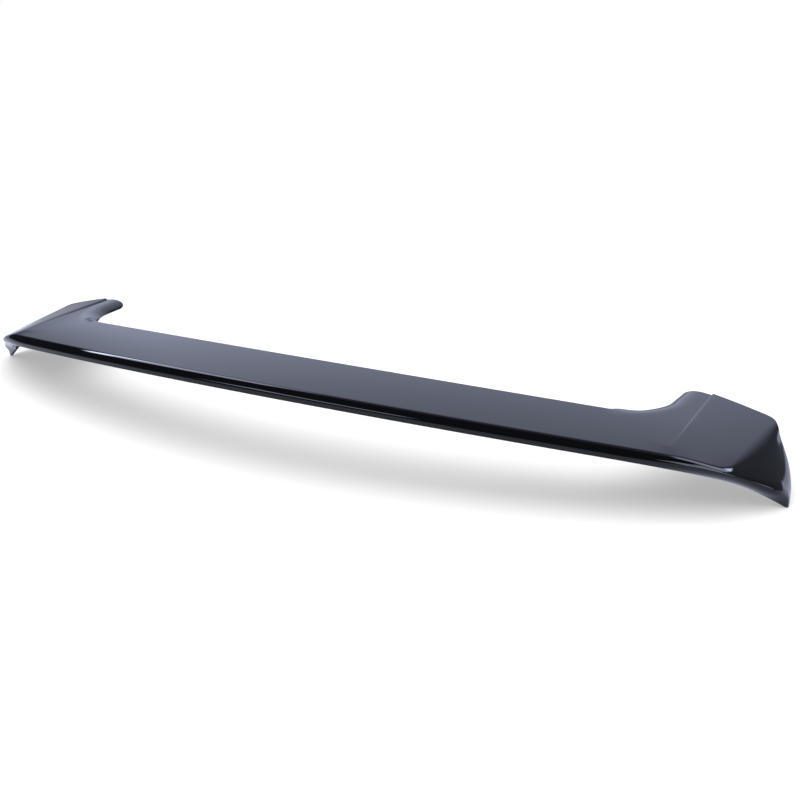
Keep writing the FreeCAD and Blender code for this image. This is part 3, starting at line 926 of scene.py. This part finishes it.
@dataclass(frozen=True)
class Studio:
    """White table, pale back wall, dark room behind the camera, light panels, a lamp and the camera.

    The camera sees the table lit near the part, where only near_glow of it glows by itself, and white past
    glow_reach. The gloss sees a painted reflection of it instead: its own glow at set levels that stand in
    for light and shade, mirror_near about the part as painted shade, mirror_side outside and ahead of the
    fins as painted light, and mirror_far past mirror_fade, but mirror_side there too on the right ahead of
    the part.
    Reaches are in metres.
    """

    floor_z: float
    camera_place: tuple = (0.7206, -1.10733, 0.44419)
    camera_turn: float = 0.47319
    camera_dip: float = 0.3622
    focal: float = 1100.6
    camera_reach: float = 400.0
    floor_half: float = 150.0
    floor_colour: tuple = (0.8, 0.8, 0.8, 1.0)
    near_glow: float = 0.36
    glow_reach: tuple = (0.75, 1.5)
    white: tuple = (1.0, 1.0, 1.0, 1.0)
    cool: tuple = (0.86, 0.94, 1.24, 1.0)
    # Painted reflection of the table: glow levels in the gloss, with painted shade about the part and painted
    # light beside the fins.
    mirror_share: float = 0.88
    mirror_near: float = 0.55
    mirror_side: float = 1.05
    mirror_far: float = 0.36
    mirror_sides: tuple = (0.45, 0.62)
    mirror_ahead: tuple = (0.06, 0.16)
    mirror_fade: tuple = (0.74, 1.0)
    mirror_open: tuple = (0.2, 0.45)
    mirror_right: tuple = (0.3, 0.6)
    room: float = 0.03
    dome: float = 0.6
    panels: tuple = (
        LightPanel("back_wall", (-49.0, 20.0), (2.0, 54.0), (8.0, 5.0), 0.96),
        LightPanel("ceiling", (-95.0, 95.0), (64.0, 110.0), (15.0, 6.0), 0.25),
        LightPanel("right_wall", (20.0, 85.0), (-20.0, 66.0), (6.0, 6.0), 0.16),
        LightPanel("left_box", (-85.0, -52.0), (30.0, 59.0), (2.0, 1.0), 4.0),
        LightPanel("left_spot", (-85.0, -56.0), (29.5, 34.0), (2.0, 1.0), 6.0),
        LightPanel("rear_box", (-172.0, -121.0), (38.0, 52.0), (3.0, 1.5), 4.0),
        LightPanel("right_box", (36.0, 82.0), (31.0, 62.0), (3.0, 1.5), 3.4),
        LightPanel("right_spot", (30.0, 52.0), (30.0, 36.0), (2.0, 1.5), 5.0),
        LightPanel("rear_card", (89.0, 131.0), (0.0, 39.0), (2.0, 2.0), 3.2),
        LightPanel("low_strip", (0.0, 45.0), (-6.0, 6.0), (4.0, 2.5), 0.9),
    )
    key: Softbox = Softbox("key_box", (0.1, -0.35, 1.7), (0.0, 0.0, -0.1), 2.8, 72.0)

    def camera(self) -> bpy.types.Object:
        """The camera at the photograph's place, turned to the left and dipped."""
        lens = bpy.data.cameras.new("camera")
        lens.sensor_width = SENSOR
        lens.lens = SENSOR * self.focal / PICTURE
        lens.clip_end = self.camera_reach
        thing = bpy.data.objects.new("camera", lens)
        thing.location = self.camera_place
        thing.rotation_euler = (math.pi / 2 - self.camera_dip, 0.0, self.camera_turn)
        bpy.context.scene.collection.objects.link(thing)
        bpy.context.scene.camera = thing
        return thing

    def floor(self) -> bpy.types.Object:
        """A wide white table under the fins' points, whose own glow takes over away from the part."""
        half = self.floor_half
        spots = np.array([[-half, -half, self.floor_z], [half, -half, self.floor_z],
                          [half, half, self.floor_z], [-half, half, self.floor_z]])
        thing = make_mesh("floor", spots, np.array([[0, 1, 2, 3]]), np.zeros(4))
        thing.data.materials.append(self.table_material())
        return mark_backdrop(thing)

    def painted_reflection(self, board: NodeBoard, spot: Socket, far: Socket) -> Socket:
        """The painted reflection of the table: how bright it glows in the gloss, with painted shade about the
        part and painted light outside and ahead of the fins.

        Args:
            board: The table's node tree.
            spot: The place on the table.
            far: Its distance from the part's middle.

        Returns:
            The level, where 1 is white.
        """
        across, ahead = (board.node("ShaderNodeSeparateXYZ", output=axis, Vector=spot) for axis in range(2))
        aside = board.step(across.math("ABSOLUTE", across), *self.mirror_sides)
        aside = aside * board.step(ahead, *self.mirror_ahead)
        # Painted shade about the part, painted light beside and ahead of the fins.
        close = self.mirror_near + (self.mirror_side - self.mirror_near) * aside
        clear = board.step(ahead, *self.mirror_open) * board.step(across, *self.mirror_right)
        beyond = self.mirror_far + (self.mirror_side - self.mirror_far) * clear
        return close + (beyond - close) * board.step(far, *self.mirror_fade)

    def table_material(self) -> bpy.types.Material:
        """White paint that keeps the shadow near the part and glows by itself away from it, and that glows at
        painted levels in the gloss as a painted reflection.
        """
        made = bpy.data.materials.new("white_table")
        made.use_nodes = True
        board = NodeBoard(made.node_tree)
        spot = board.node("ShaderNodeTexCoord", output="Object")
        far = board.node("ShaderNodeVectorMath", {"operation": "LENGTH"}, output="Value", _0=spot)
        glossy = board.ray("Glossy")
        seen = self.near_glow + (1 - self.near_glow) * board.step(far, *self.glow_reach)
        # In the gloss the table is mostly glow at painted levels: a painted reflection of its light and
        # shade.
        share = seen * board.ray("Camera", "Transmission") + glossy * self.mirror_share
        level = 1 + (self.painted_reflection(board, spot, far) - 1) * glossy
        plain = board.node("ShaderNodeBsdfDiffuse", Color=self.floor_colour)
        glow = board.node("ShaderNodeEmission",
                          Color=board.scaled(board.tint(glossy, self.white, self.cool), level))
        both = board.node("ShaderNodeMixShader", _0=share.clamp(), _1=plain, _2=glow)
        board.node("ShaderNodeOutputMaterial", Surface=both)
        return made

    def world(self) -> bpy.types.World:
        """A room that is white to the camera and dim to the table, with light panels that the gloss sees."""
        made = bpy.data.worlds.new("studio")
        bpy.context.scene.world = made
        made.use_nodes = True
        board = NodeBoard(made.node_tree)
        way = board.node("ShaderNodeTexCoord", output="Generated")
        right, ahead, up = (board.node("ShaderNodeSeparateXYZ", output=axis, Vector=way) for axis in range(3))
        azimuth = right.math("ARCTAN2", right, ahead) * math.degrees(1)
        elevation = up.math("ARCSINE", up) * math.degrees(1)
        glossy = board.ray("Glossy")
        shown = sum((panel.glow(board, azimuth, elevation) for panel in self.panels), self.room)
        lit = self.dome + (1 - self.dome) * board.ray("Camera", "Transmission")
        level = lit + (shown - lit) * glossy
        glow = board.node("ShaderNodeBackground",
                          Color=board.scaled(board.tint(glossy, self.white, self.cool), level))
        board.node("ShaderNodeOutputWorld", Surface=glow)
        return made


def boxes() -> list[list[float]]:
    """The object's present box as two plain lists."""
    return [[float(value) for value in corner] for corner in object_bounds()]


def main() -> None:
    """Build the shell and the studio, and report each piece."""
    logging.basicConfig(level=logging.INFO, format="%(name)s: %(message)s")
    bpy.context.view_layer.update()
    shell = SpoilerShell(ShellSizes(), GridCounts())
    skin = shell.build()
    skin.data.materials.append(PianoBlack().material())
    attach(skin, BODY)
    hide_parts(NODE)
    log.info("%s: %d faces", skin.name, len(skin.data.polygons))

    lowest = boxes()[0][2]
    studio = Studio(floor_z=lowest)
    studio.camera()
    studio.floor()
    studio.world()
    studio.key.build()
    log.info("floor at %.4f m, %d light panels", lowest, len(studio.panels))

    scene = bpy.context.scene
    scene.view_settings.view_transform = "Standard"


if __name__ == "__main__":
    main()
